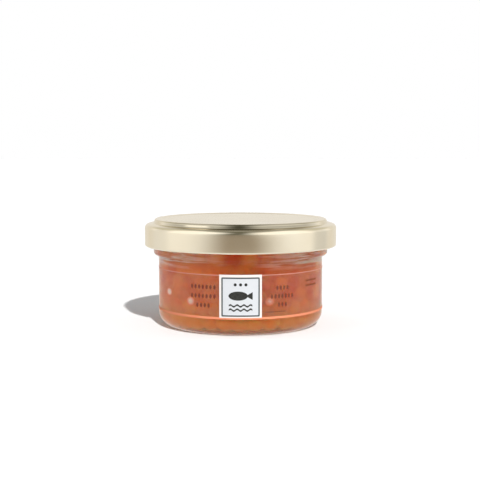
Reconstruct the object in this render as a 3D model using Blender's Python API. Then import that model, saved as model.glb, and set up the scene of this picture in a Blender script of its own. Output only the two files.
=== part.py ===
"""Sealed glass jar of salmon roe with a gold twist-off lid and a clear wrap label.

The jar stands on its base with the origin at the centre of the base, +Z up, and the
label's white badge facing -Y. Lengths are in metres.
"""

import math
import random

import bmesh
import bpy
from mathutils import Matrix, Vector

MM = 0.001

# Points closer than this are one
MERGE = 0.001 * MM

# Round pieces
SEGMENTS = 48
STEPS_PER_QUARTER = 4

# Gap kept between pieces that touch in the real jar
FIT_GAP = 0.3 * MM

# Glass jar
BODY_RADIUS = 31.1 * MM
WALL = 2.0 * MM
HEEL_RADIUS = 5.3 * MM
INNER_HEEL_RADIUS = 3.5 * MM
RING_WIDTH = 2.2 * MM
PUSH_UP = 1.0 * MM
PUSH_UP_FLAT_RADIUS = 19.0 * MM
PUSH_UP_FILLET = 3.0 * MM
FLOOR_EDGE_HEIGHT = 2.2 * MM
FLOOR_RISE = 0.8 * MM
FLARE_START = 26.2 * MM
FLARE_FILLET = 0.7 * MM
BEAD_RADIUS = 33.0 * MM
BEAD_LOW = 27.2 * MM
BEAD_LOW_FILLET = 1.0 * MM
BEAD_HIGH = 29.2 * MM
NECK_RADIUS = 32.3 * MM
NECK_LOW = 30.0 * MM
NECK_HIGH = 31.0 * MM
FINISH_RADIUS = 33.2 * MM
FINISH_LOW = 31.8 * MM
MOUTH_RADIUS = 30.0 * MM
MOUTH_LOW = 31.0 * MM
SHOULDER_INSIDE = 28.6 * MM
SHOULDER_FILLET = 2.0 * MM
RIM_HEIGHT = 37.5 * MM
RIM_EDGE = 1.3 * MM

# Twist-off lid
LID_RADIUS = 36.3 * MM
LID_TOP = 40.3 * MM
LID_BOTTOM = 30.0 * MM
SHEET = 0.5 * MM
PANEL_RADIUS = 32.4 * MM
PANEL_EDGE = 0.8 * MM
STEP_FOOT_RADIUS = 33.1 * MM
STEP_FOOT_HEIGHT = 38.8 * MM
STEP_FOOT_FILLET = 0.35 * MM
ANNULUS_EDGE_HEIGHT = 38.1 * MM
ANNULUS_EDGE_FILLET = 1.5 * MM
CURL_RADIUS = 0.72 * MM
CURL_STEPS = 5

# Clear wrap label, open by a narrow seam at the back
LABEL_GAP = 0.2 * MM
LABEL_THICKNESS = 0.2 * MM
LABEL_BOTTOM = 6.4 * MM
LABEL_TOP = 22.3 * MM
LABEL_SEAM = 3.0 * MM
LABEL_STEPS = 48

# White square badge stuck on the label at the front
BADGE_WIDTH = 15.4 * MM
BADGE_BOTTOM = 7.0 * MM
BADGE_TOP = 22.45 * MM
BADGE_STEPS = 5

# Roe: eggs pressed against the glass all round and under a plain core
FACET_DEPTH = (BODY_RADIUS - WALL) * (1 - math.cos(math.pi / SEGMENTS))
EGG_RADIUS = 3.3 * MM
EGG_SPREAD = 0.25 * MM
EGG_SHIFT = 0.35 * MM
EGG_SHOWING = 2.0 * MM
WALL_ROWS = 5
EGGS_PER_ROW = 24
FLOOR_RINGS = 4
FLOOR_RING_STEP = 6.5 * MM
ROE_TOP = 34.6 * MM
EGG_SEED = 7


def clear_scene():
    """Remove every object, so that only the jar's pieces are left."""
    for thing in list(bpy.data.objects):
        bpy.data.objects.remove(thing, do_unlink=True)


def make_material(name, color, roughness, metallic=0.0, transmission=0.0, alpha=1.0):
    """Principled material of one colour."""
    material = bpy.data.materials.new(name)
    material.use_nodes = True
    shader = material.node_tree.nodes["Principled BSDF"]
    shader.inputs["Base Color"].default_value = (*color, 1.0)
    shader.inputs["Roughness"].default_value = roughness
    shader.inputs["Metallic"].default_value = metallic
    shader.inputs["Transmission Weight"].default_value = transmission
    shader.inputs["Alpha"].default_value = alpha
    material.diffuse_color = (*color, alpha)
    return material


def add_object(name, bm, material, sharp_angle=40):
    """Turn a bmesh into a smooth-shaded object with its faces pointing out."""
    bmesh.ops.remove_doubles(bm, verts=bm.verts, dist=MERGE)
    bmesh.ops.recalc_face_normals(bm, faces=bm.faces)
    mesh = bpy.data.meshes.new(name)
    bm.to_mesh(mesh)
    bm.free()
    mesh.shade_smooth()
    mesh.set_sharp_from_angle(angle=math.radians(sharp_angle))
    mesh.materials.append(material)
    thing = bpy.data.objects.new(name, mesh)
    bpy.context.scene.collection.objects.link(thing)
    return thing


def round_corners(corners):
    """Outline through (radius, height, fillet) corners, each fillet drawn as an arc."""
    outline = []
    for index, (r, z, fillet) in enumerate(corners):
        here = Vector((r, z))
        if fillet == 0.0:
            outline.append(here)
            continue
        to_last = (Vector(corners[index - 1][:2]) - here).normalized()
        to_next = (Vector(corners[index + 1][:2]) - here).normalized()
        half_angle = to_last.angle(to_next) / 2
        centre = here + (to_last + to_next).normalized() * (fillet / math.sin(half_angle))
        start = here + to_last * (fillet / math.tan(half_angle)) - centre
        end = here + to_next * (fillet / math.tan(half_angle)) - centre
        swing = start.angle_signed(end)
        steps = max(2, round(abs(swing) / (math.pi / 2) * STEPS_PER_QUARTER))
        for step in range(steps + 1):
            outline.append(centre + Matrix.Rotation(-swing * step / steps, 2) @ start)
    return outline


def turn(outline):
    """Spin an outline of (radius, height) points all the way round +Z."""
    bm = bmesh.new()
    verts = [bm.verts.new((point.x, 0.0, point.y)) for point in outline]
    edges = [bm.edges.new(pair) for pair in zip(verts, verts[1:])]
    bmesh.ops.spin(bm, geom=verts + edges, cent=(0, 0, 0), axis=(0, 0, 1),
                   angle=math.tau, steps=SEGMENTS, use_merge=True)
    bmesh.ops.remove_doubles(bm, verts=bm.verts, dist=MERGE)
    bmesh.ops.dissolve_degenerate(bm, dist=MERGE, edges=bm.edges)
    return bm


def curved_sheet(inner_radius, thickness, bottom, top, middle_angle, sweep, steps):
    """Sheet that follows the jar's wall over an angle, as a bmesh."""
    bm = bmesh.new()
    start = middle_angle - sweep / 2
    ray = Vector((math.cos(start), math.sin(start), 0.0))
    corners = [(inner_radius, bottom), (inner_radius + thickness, bottom),
               (inner_radius + thickness, top), (inner_radius, top)]
    face = bm.faces.new([bm.verts.new(ray * r + Vector((0, 0, z))) for r, z in corners])
    bmesh.ops.spin(bm, geom=list(face.verts) + list(face.edges) + [face], cent=(0, 0, 0),
                   axis=(0, 0, 1), angle=sweep, steps=steps)
    return bm


def inner_wall_corners():
    """Corners of the jar's inside, from the rim down to the middle of its floor."""
    inner_radius = BODY_RADIUS - WALL
    return [
        (MOUTH_RADIUS, MOUTH_LOW, SHOULDER_FILLET),
        (inner_radius, SHOULDER_INSIDE, SHOULDER_FILLET),
        (inner_radius, FLOOR_EDGE_HEIGHT, INNER_HEEL_RADIUS),
        (0.0, FLOOR_EDGE_HEIGHT + FLOOR_RISE, 0.0),
    ]


def make_jar():
    """Clear glass jar: thin pushed-up base, straight wall, bead and plain finish."""
    ring_outer = BODY_RADIUS - HEEL_RADIUS
    outline = round_corners([
        (0.0, PUSH_UP, 0.0),
        (PUSH_UP_FLAT_RADIUS, PUSH_UP, PUSH_UP_FILLET),
        (ring_outer - RING_WIDTH, 0.0, 0.0),
        (BODY_RADIUS, 0.0, HEEL_RADIUS),
        (BODY_RADIUS, FLARE_START, FLARE_FILLET),
        (BEAD_RADIUS, BEAD_LOW, BEAD_LOW_FILLET),
        (BEAD_RADIUS, BEAD_HIGH, 0.0),
        (NECK_RADIUS, NECK_LOW, 0.0),
        (NECK_RADIUS, NECK_HIGH, 0.0),
        (FINISH_RADIUS, FINISH_LOW, 0.0),
        (FINISH_RADIUS, RIM_HEIGHT, RIM_EDGE),
        (MOUTH_RADIUS, RIM_HEIGHT, RIM_EDGE),
        *inner_wall_corners(),
    ])
    glass = make_material("clear_glass", (0.93, 0.96, 0.94), 0.03, transmission=1.0, alpha=0.35)
    return add_object("jar", turn(outline), glass)


def lid_outline():
    """Outside of the lid from the centre of its raised panel to the top of the curl."""
    return round_corners([
        (0.0, LID_TOP, 0.0),
        (PANEL_RADIUS, LID_TOP, PANEL_EDGE),
        (STEP_FOOT_RADIUS, STEP_FOOT_HEIGHT, STEP_FOOT_FILLET),
        (LID_RADIUS, ANNULUS_EDGE_HEIGHT, ANNULUS_EDGE_FILLET),
        (LID_RADIUS, LID_BOTTOM + CURL_RADIUS, 0.0),
    ])


def inset_outline(outline, distance):
    """The same outline moved to its inner side by the sheet's thickness."""
    moved = []
    for index, point in enumerate(outline):
        before = outline[max(index - 1, 0)]
        after = outline[min(index + 1, len(outline) - 1)]
        along = (after - before).normalized()
        moved.append(point + Vector((along.y, -along.x)) * distance)
    moved[0].x = 0.0
    return moved


def make_lid():
    """Pressed lid: raised panel, step, sloping annulus, skirt and a rolled bottom edge."""
    outside = lid_outline()
    inside = inset_outline(outside, SHEET)
    curl_middle = Vector((LID_RADIUS - CURL_RADIUS, LID_BOTTOM + CURL_RADIUS))
    curl = []
    for step in range(1, CURL_STEPS + 1):
        angle = -math.pi * step / CURL_STEPS
        curl.append(curl_middle + CURL_RADIUS * Vector((math.cos(angle), math.sin(angle))))
    curl_end = Vector((LID_RADIUS - SHEET, LID_BOTTOM + 2 * CURL_RADIUS))
    outline = outside + curl + [curl_end] + inside[-2::-1]
    gold = make_material("champagne_gold", (0.80, 0.72, 0.53), 0.30, metallic=1.0)
    return add_object("lid", turn(outline), gold, sharp_angle=50)


def make_label():
    """Clear film wrapped round the body, with its seam at the back."""
    inner_radius = BODY_RADIUS + LABEL_GAP
    sweep = math.tau - LABEL_SEAM / inner_radius
    bm = curved_sheet(inner_radius, LABEL_THICKNESS, LABEL_BOTTOM, LABEL_TOP,
                      -math.pi / 2, sweep, LABEL_STEPS)
    film = make_material("label_film", (0.90, 0.62, 0.52), 0.25, transmission=0.8, alpha=0.5)
    return add_object("label_film", bm, film)


def make_badge():
    """White square badge on the front of the label."""
    inner_radius = BODY_RADIUS + LABEL_GAP + LABEL_THICKNESS + LABEL_GAP
    bm = curved_sheet(inner_radius, LABEL_THICKNESS, BADGE_BOTTOM, BADGE_TOP,
                      -math.pi / 2, BADGE_WIDTH / inner_radius, BADGE_STEPS)
    white = make_material("badge_paper", (0.88, 0.87, 0.85), 0.5)
    return add_object("label_badge", bm, white)


def roe_core_outline():
    """Core of the roe: the inside of the jar, drawn in so that the eggs stand proud."""
    inset = FIT_GAP + EGG_SHOWING
    radius = BODY_RADIUS - WALL - inset
    floor = FLOOR_EDGE_HEIGHT + inset
    return round_corners([
        (0.0, floor + FLOOR_RISE, 0.0),
        (radius, floor, INNER_HEEL_RADIUS - inset),
        (radius, ROE_TOP - EGG_SHOWING, INNER_HEEL_RADIUS - inset),
        (0.0, ROE_TOP - EGG_SHOWING, 0.0),
    ])


def on_circle(radius, angle, height):
    """Point at an angle on a level circle round the jar's axis."""
    return Vector((radius * math.cos(angle), radius * math.sin(angle), height))


def egg_places():
    """Centre and radius of every egg: staggered rows up the wall, then rings on the floor."""
    draw = random.Random(EGG_SEED)
    wall = BODY_RADIUS - WALL - FIT_GAP - FACET_DEPTH
    lowest = FLOOR_EDGE_HEIGHT + INNER_HEEL_RADIUS + FIT_GAP
    row_step = (ROE_TOP - EGG_RADIUS - lowest) / (WALL_ROWS - 1)
    for row in range(WALL_ROWS):
        for index in range(EGGS_PER_ROW):
            radius = EGG_RADIUS - draw.uniform(0.0, EGG_SPREAD)
            aside = draw.uniform(-EGG_SHIFT, EGG_SHIFT) / wall
            angle = math.tau * (index + 0.5 * (row % 2)) / EGGS_PER_ROW + aside
            height = lowest + row * row_step + draw.uniform(0.0, EGG_SHIFT)
            yield on_circle(wall - radius, angle, height), radius
    floor = FLOOR_EDGE_HEIGHT + FLOOR_RISE + FIT_GAP
    for ring in range(FLOOR_RINGS):
        turned = draw.uniform(0.0, math.tau)
        count = max(1, 6 * ring)
        for index in range(count):
            radius = EGG_RADIUS - draw.uniform(0.0, EGG_SPREAD)
            angle = turned + math.tau * index / count
            yield on_circle(ring * FLOOR_RING_STEP, angle, floor + radius), radius


def make_egg(name, place, radius):
    """One egg with few sides."""
    bm = bmesh.new()
    bmesh.ops.create_icosphere(bm, subdivisions=1, radius=radius)
    bmesh.ops.translate(bm, verts=bm.verts, vec=place)
    mesh = bpy.data.meshes.new(name)
    bm.to_mesh(mesh)
    bm.free()
    return bpy.data.objects.new(name, mesh)


def make_roe():
    """Roe that fills the jar: a core with the eggs that show fused on."""
    flesh = make_material("roe", (0.62, 0.16, 0.05), 0.25)
    core = add_object("roe", turn(roe_core_outline()), flesh, sharp_angle=180)
    eggs = bpy.data.collections.new("eggs")
    bpy.context.scene.collection.children.link(eggs)
    for index, (place, radius) in enumerate(egg_places()):
        eggs.objects.link(make_egg(f"egg_{index}", place, radius))
    fuse = core.modifiers.new("fuse eggs", "BOOLEAN")
    fuse.operation = "UNION"
    fuse.operand_type = "COLLECTION"
    fuse.collection = eggs
    fuse.solver = "EXACT"
    bpy.context.view_layer.objects.active = core
    bpy.ops.object.modifier_apply(modifier=fuse.name)
    for egg in list(eggs.objects):
        bpy.data.objects.remove(egg, do_unlink=True)
    bpy.data.collections.remove(eggs)
    return core


def main():
    """Build the jar's pieces."""
    clear_scene()
    make_jar()
    make_roe()
    make_lid()
    make_label()
    make_badge()


main()
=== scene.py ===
"""A sealed glass jar of salmon roe with a pale gold twist-off lid and a clear wrap label.

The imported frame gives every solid's place. Each class below builds one sub-assembly in
millimetres about the jar's upright axis, and its pieces are handed over in metres.
"""

import logging
import math
import random
from dataclasses import dataclass, field, replace
from enum import Enum
from itertools import pairwise
from typing import Callable, Sequence

import bmesh
import bpy
import numpy as np
from mathutils import Euler, Matrix, Vector


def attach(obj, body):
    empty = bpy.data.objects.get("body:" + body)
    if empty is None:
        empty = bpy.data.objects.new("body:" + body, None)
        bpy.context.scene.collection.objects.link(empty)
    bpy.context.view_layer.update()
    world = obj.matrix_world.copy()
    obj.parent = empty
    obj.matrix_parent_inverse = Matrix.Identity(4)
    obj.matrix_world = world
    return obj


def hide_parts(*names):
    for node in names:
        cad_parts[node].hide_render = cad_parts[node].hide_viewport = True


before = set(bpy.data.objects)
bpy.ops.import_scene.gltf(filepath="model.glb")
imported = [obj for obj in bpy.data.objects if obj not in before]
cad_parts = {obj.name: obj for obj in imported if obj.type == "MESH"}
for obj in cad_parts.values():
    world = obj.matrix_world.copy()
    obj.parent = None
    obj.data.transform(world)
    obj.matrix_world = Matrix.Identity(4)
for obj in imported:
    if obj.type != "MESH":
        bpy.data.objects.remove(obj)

LOG = logging.getLogger("roe_jar")

MM = 0.001
WELD = 1e-4
SHARP_ANGLE = math.radians(32)
ARC_STEP = math.radians(9)
LEAST_ARC_STEPS = 3
HARDLY_ANYTHING = 1e-6
BODY = "root"

Colour = tuple[float, float, float]
Span = tuple[float, float]
# A constant or a socket, for any input of a node
Value = object


class Slot(Enum):
    """The material slots."""

    GLASS = "clear_glass"
    ROE = "roe"
    GOLD = "champagne_gold"
    FILM = "label_film"
    PAPER = "badge_paper"


class Solid(Enum):
    """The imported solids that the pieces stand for."""

    JAR = "jar"
    ROE = "roe"
    LID = "lid"
    FILM = "label_film"
    BADGE = "label_badge"


# Modelling tools


def newest(name: str) -> bpy.types.Object:
    """Name the object that was just added.

    Args:
        name: Its name, and its mesh's name.

    Returns:
        The object.
    """
    piece = bpy.context.object
    piece.name = piece.data.name = name
    return piece


def choose_only(piece: bpy.types.Object) -> None:
    """Make one object the only selected one, and the active one.

    Args:
        piece: The object to select.
    """
    bpy.ops.object.select_all(action="DESELECT")
    piece.select_set(True)
    bpy.context.view_layer.objects.active = piece


class EditMode:
    """Edit mode on one piece, entered with nothing picked.

    Args:
        piece: The mesh object to shape.
    """

    def __init__(self, piece: bpy.types.Object) -> None:
        """Remember the piece to be shaped."""
        self.piece = piece

    def __enter__(self) -> "EditMode":
        """Open the piece for shaping.

        Returns:
            The open edit mode.
        """
        choose_only(self.piece)
        bpy.ops.object.mode_set(mode="EDIT")
        bpy.ops.mesh.select_mode(type="VERT")
        bpy.ops.mesh.select_all(action="DESELECT")
        return self

    def __exit__(self, *problem: object) -> None:
        """Close the piece again."""
        bpy.ops.object.mode_set(mode="OBJECT")

    def pick_all(self) -> None:
        """Pick the whole piece."""
        bpy.ops.mesh.select_all(action="SELECT")

    def pick_faces(self, test: Callable[[Vector, Vector], bool]) -> None:
        """Pick faces by their place, and drop the rest.

        Args:
            test: Tells from a face's centre and normal whether it is picked.
        """
        bpy.ops.mesh.select_mode(type="FACE")
        shape = bmesh.from_edit_mesh(self.piece.data)
        for face in shape.faces:
            face.select_set(test(face.calc_center_median(), face.normal))
        bmesh.update_edit_mesh(self.piece.data)

    def weld(self) -> None:
        """Merge doubled points and turn every face outwards."""
        self.pick_all()
        bpy.ops.mesh.remove_doubles(threshold=WELD)
        bpy.ops.mesh.normals_make_consistent(inside=False)

    def slice_columns(self, low: float, high: float, count: int) -> None:
        """Cut the piece into upright columns, so that it can follow a round wall.

        Args:
            low: Left end of the columns.
            high: Right end of the columns.
            count: Number of columns.
        """
        for index in range(1, count):
            self.pick_all()
            cut = low + (high - low) * index / count
            bpy.ops.mesh.bisect(plane_co=(cut, 0, 0), plane_no=(1, 0, 0))


@dataclass(frozen=True)
class Corner:
    """A corner of a turned outline, with the radius that rounds it."""

    radius: float
    height: float
    fillet: float = 0.0


def rounded(corners: Sequence[Corner]) -> list[Vector]:
    """Lay arcs into an outline's corners.

    Args:
        corners: The corners in order.

    Returns:
        The outline's points as (radius, height).
    """
    outline = []
    for index, corner in enumerate(corners):
        here = Vector((corner.radius, corner.height))
        if corner.fillet == 0.0:
            outline.append(here)
            continue
        last, following = corners[index - 1], corners[index + 1]
        to_last = (Vector((last.radius, last.height)) - here).normalized()
        to_next = (Vector((following.radius, following.height)) - here).normalized()
        half_angle = to_last.angle(to_next) / 2
        middle = (to_last + to_next).normalized()
        centre = here + middle * (corner.fillet / math.sin(half_angle))
        reach = corner.fillet / math.tan(half_angle)
        start = here + to_last * reach - centre
        swing = start.angle_signed(here + to_next * reach - centre)
        steps = max(LEAST_ARC_STEPS, math.ceil(abs(swing) / ARC_STEP))
        for step in range(steps + 1):
            outline.append(centre + Matrix.Rotation(-swing * step / steps, 2) @ start)
    return outline


def inset_outline(outline: Sequence[Vector], distance: float) -> list[Vector]:
    """Move an outline to its inner side.

    Args:
        outline: Points that start on the axis and run outwards and down.
        distance: How far to move it.

    Returns:
        The moved points, the first still on the axis.
    """
    moved = []
    for index, point in enumerate(outline):
        before = outline[max(index - 1, 0)]
        after = outline[min(index + 1, len(outline) - 1)]
        along = (after - before).normalized()
        moved.append(point + Vector((along.y, -along.x)) * distance)
    moved[0].x = 0.0
    return moved


def spin_outline(name: str, outline: Sequence[Vector], steps: int) -> bpy.types.Object:
    """Draw an outline point by point and spin it round the upright axis.

    Args:
        name: The piece's name.
        outline: Points (radius, height), whose two ends are on the axis.
        steps: Number of steps round the axis.

    Returns:
        A closed turned piece.
    """
    bpy.ops.object.select_all(action="DESELECT")
    bpy.ops.mesh.primitive_plane_add(size=1.0)
    piece = newest(name)
    with EditMode(piece) as edit:
        edit.pick_all()
        bpy.ops.mesh.merge(type="CENTER")
        bpy.ops.transform.translate(value=(outline[0].x, 0, outline[0].y))
        for here, there in pairwise(outline):
            move = (there.x - here.x, 0, there.y - here.y)
            bpy.ops.mesh.extrude_vertices_move(TRANSFORM_OT_translate={"value": move})
        edit.pick_all()
        bpy.ops.mesh.spin(steps=steps, angle=math.tau, center=(0, 0, 0), axis=(0, 0, 1))
        edit.weld()
    return piece


def spin_band(
    name: str, radius: float, thickness: float, low: float, high: float, gap: float, steps: int
) -> bpy.types.Object:
    """Spin an upright strip round the jar, open at the back.

    Args:
        name: The piece's name.
        radius: Inner radius.
        thickness: Thickness outwards.
        low: Height of the lower edge.
        high: Height of the upper edge.
        gap: Width of the opening at the back, along the wall.
        steps: Number of steps round the axis.

    Returns:
        A closed thin band.
    """
    bpy.ops.object.select_all(action="DESELECT")
    bpy.ops.mesh.primitive_plane_add(size=1.0, rotation=(math.pi / 2, 0, 0))
    piece = newest(name)
    bpy.ops.object.transform_apply(location=False, rotation=True, scale=False)
    half_gap = gap / 2 / radius
    with EditMode(piece) as edit:
        edit.pick_all()
        bpy.ops.transform.resize(value=(thickness, 1, high - low), center_override=(0, 0, 0))
        bpy.ops.transform.translate(value=(radius + thickness / 2, 0, (low + high) / 2))
        turn_open(piece, Matrix.Rotation(math.pi / 2 + half_gap, 3, "Z"))
        edit.pick_all()
        bpy.ops.mesh.spin(
            steps=steps, angle=math.tau - 2 * half_gap, center=(0, 0, 0), axis=(0, 0, 1)
        )
        edit.weld()
    return piece


def turn_open(piece: bpy.types.Object, turn: Matrix) -> None:
    """Turn the points of a piece that is open in edit mode.

    Args:
        piece: The open piece.
        turn: The turn about the upright axis.
    """
    shape = bmesh.from_edit_mesh(piece.data)
    bmesh.ops.transform(shape, matrix=turn.to_4x4(), verts=shape.verts)
    bmesh.update_edit_mesh(piece.data)


def reshape(piece: bpy.types.Object, rule: Callable[[np.ndarray], np.ndarray]) -> None:
    """Move every point of a piece by a rule.

    Args:
        piece: The piece to change.
        rule: Gives the new places of an array of points, one to a row.
    """
    places = np.empty(len(piece.data.vertices) * 3, np.float32)
    piece.data.vertices.foreach_get("co", places)
    moved = rule(places.reshape(-1, 3).astype(float))
    piece.data.vertices.foreach_set("co", moved.astype(np.float32).ravel())
    piece.data.update()


def thicken(piece: bpy.types.Object, thickness: float) -> None:
    """Give a thin sheet its thickness on the side that its faces look to.

    Args:
        piece: The sheet.
        thickness: Its thickness.
    """
    choose_only(piece)
    wall = piece.modifiers.new("thickness", "SOLIDIFY")
    wall.thickness, wall.offset = thickness, 1.0
    bpy.ops.object.modifier_apply(modifier=wall.name)


def lay_on_wall(piece: bpy.types.Object, radius: float, thickness: float) -> None:
    """Bend a flat print round the jar and give it its thickness.

    Args:
        piece: A flat piece in the front plane; its x becomes the length along the wall.
        radius: The radius that it lies on.
        thickness: Its thickness outwards.
    """

    def bend(points: np.ndarray) -> np.ndarray:
        """Bend points of the front plane round the axis.

        Args:
            points: Points of the front plane.

        Returns:
            The points on the wall.
        """
        angle = points[:, 0] / radius
        return np.stack([radius * np.sin(angle), -radius * np.cos(angle), points[:, 2]], axis=1)

    reshape(piece, bend)
    thicken(piece, thickness)


def flat_plate(name: str, left: float, right: float, low: float, high: float) -> bpy.types.Object:
    """Add a flat plate in the front plane, which looks to the front.

    Args:
        name: The piece's name.
        left: Its left side.
        right: Its right side.
        low: Its lower edge.
        high: Its upper edge.

    Returns:
        The plate, one face.
    """
    bpy.ops.object.select_all(action="DESELECT")
    place = ((left + right) / 2, 0, (low + high) / 2)
    bpy.ops.mesh.primitive_plane_add(size=1.0, location=place, rotation=(math.pi / 2, 0, 0))
    piece = newest(name)
    piece.scale = (right - left, high - low, 1)
    bpy.ops.object.transform_apply(location=True, rotation=True, scale=True)
    return piece


def flat_dot(name: str, x: float, z: float, radius: float, sides: int) -> bpy.types.Object:
    """Add a flat round dot in the front plane, which looks to the front.

    Args:
        name: The piece's name.
        x: Its middle, to the right.
        z: Its middle, upwards.
        radius: Its radius.
        sides: How many sides draw its circle.

    Returns:
        The dot, one face.
    """
    bpy.ops.object.select_all(action="DESELECT")
    bpy.ops.mesh.primitive_circle_add(
        vertices=sides,
        radius=radius,
        fill_type="NGON",
        location=(x, 0, z),
        rotation=(math.pi / 2, 0, 0),
    )
    piece = newest(name)
    bpy.ops.object.transform_apply(location=True, rotation=True, scale=True)
    return piece


def copy_to(place: Matrix, piece: bpy.types.Object) -> bpy.types.Object:
    """Copy a piece together with its mesh.

    Args:
        place: Where the copy stands, and its size.
        piece: The piece to copy.

    Returns:
        The copy.
    """
    twin = piece.copy()
    twin.data = piece.data.copy()
    twin.matrix_world = place
    bpy.context.collection.objects.link(twin)
    return twin


def join(name: str, parts: Sequence[bpy.types.Object]) -> bpy.types.Object:
    """Join several parts into one piece.

    Args:
        name: The new piece's name.
        parts: The parts; the first one stays.

    Returns:
        The joined piece, with its place in its mesh.
    """
    bpy.ops.object.select_all(action="DESELECT")
    for part in parts:
        part.select_set(True)
    bpy.context.view_layer.objects.active = parts[0]
    bpy.ops.object.transform_apply(location=True, rotation=True, scale=True)
    if len(parts) > 1:
        bpy.ops.object.join()
    parts[0].name = parts[0].data.name = name
    return parts[0]


def join_copies(
    name: str, first: bpy.types.Object, parts: Sequence[bpy.types.Object]
) -> bpy.types.Object:
    """Drop the piece that others are copies of, and join the others.

    Args:
        name: The new piece's name.
        first: The piece that was copied.
        parts: The copies, and what else belongs to the piece.

    Returns:
        The joined piece.
    """
    bpy.data.objects.remove(first)
    bpy.context.view_layer.update()
    return join(name, parts)


def hand_over(
    piece: bpy.types.Object,
    material: bpy.types.Material,
    slot: Slot,
    *solids: Solid,
    smooth: bool = True,
) -> None:
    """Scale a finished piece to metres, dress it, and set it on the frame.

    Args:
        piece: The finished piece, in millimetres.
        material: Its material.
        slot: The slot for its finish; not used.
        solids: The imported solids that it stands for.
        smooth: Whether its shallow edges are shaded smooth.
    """
    choose_only(piece)
    piece.scale = (MM, MM, MM)
    bpy.ops.object.transform_apply(location=True, rotation=True, scale=True)
    if smooth:
        bpy.ops.object.shade_smooth_by_angle(angle=SHARP_ANGLE)
    piece.data.materials.clear()
    piece.data.materials.append(material)
    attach(piece, BODY)
    if solids:
        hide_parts(*(solid.value for solid in solids))
    LOG.info("%s: %d faces", piece.name, len(piece.data.polygons))


# Finishes


@dataclass(frozen=True)
class Ramp:
    """A soft change from one value to another while an input crosses a range."""

    start: float
    end: float
    before: Value = 0.0
    after: Value = 1.0


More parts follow.
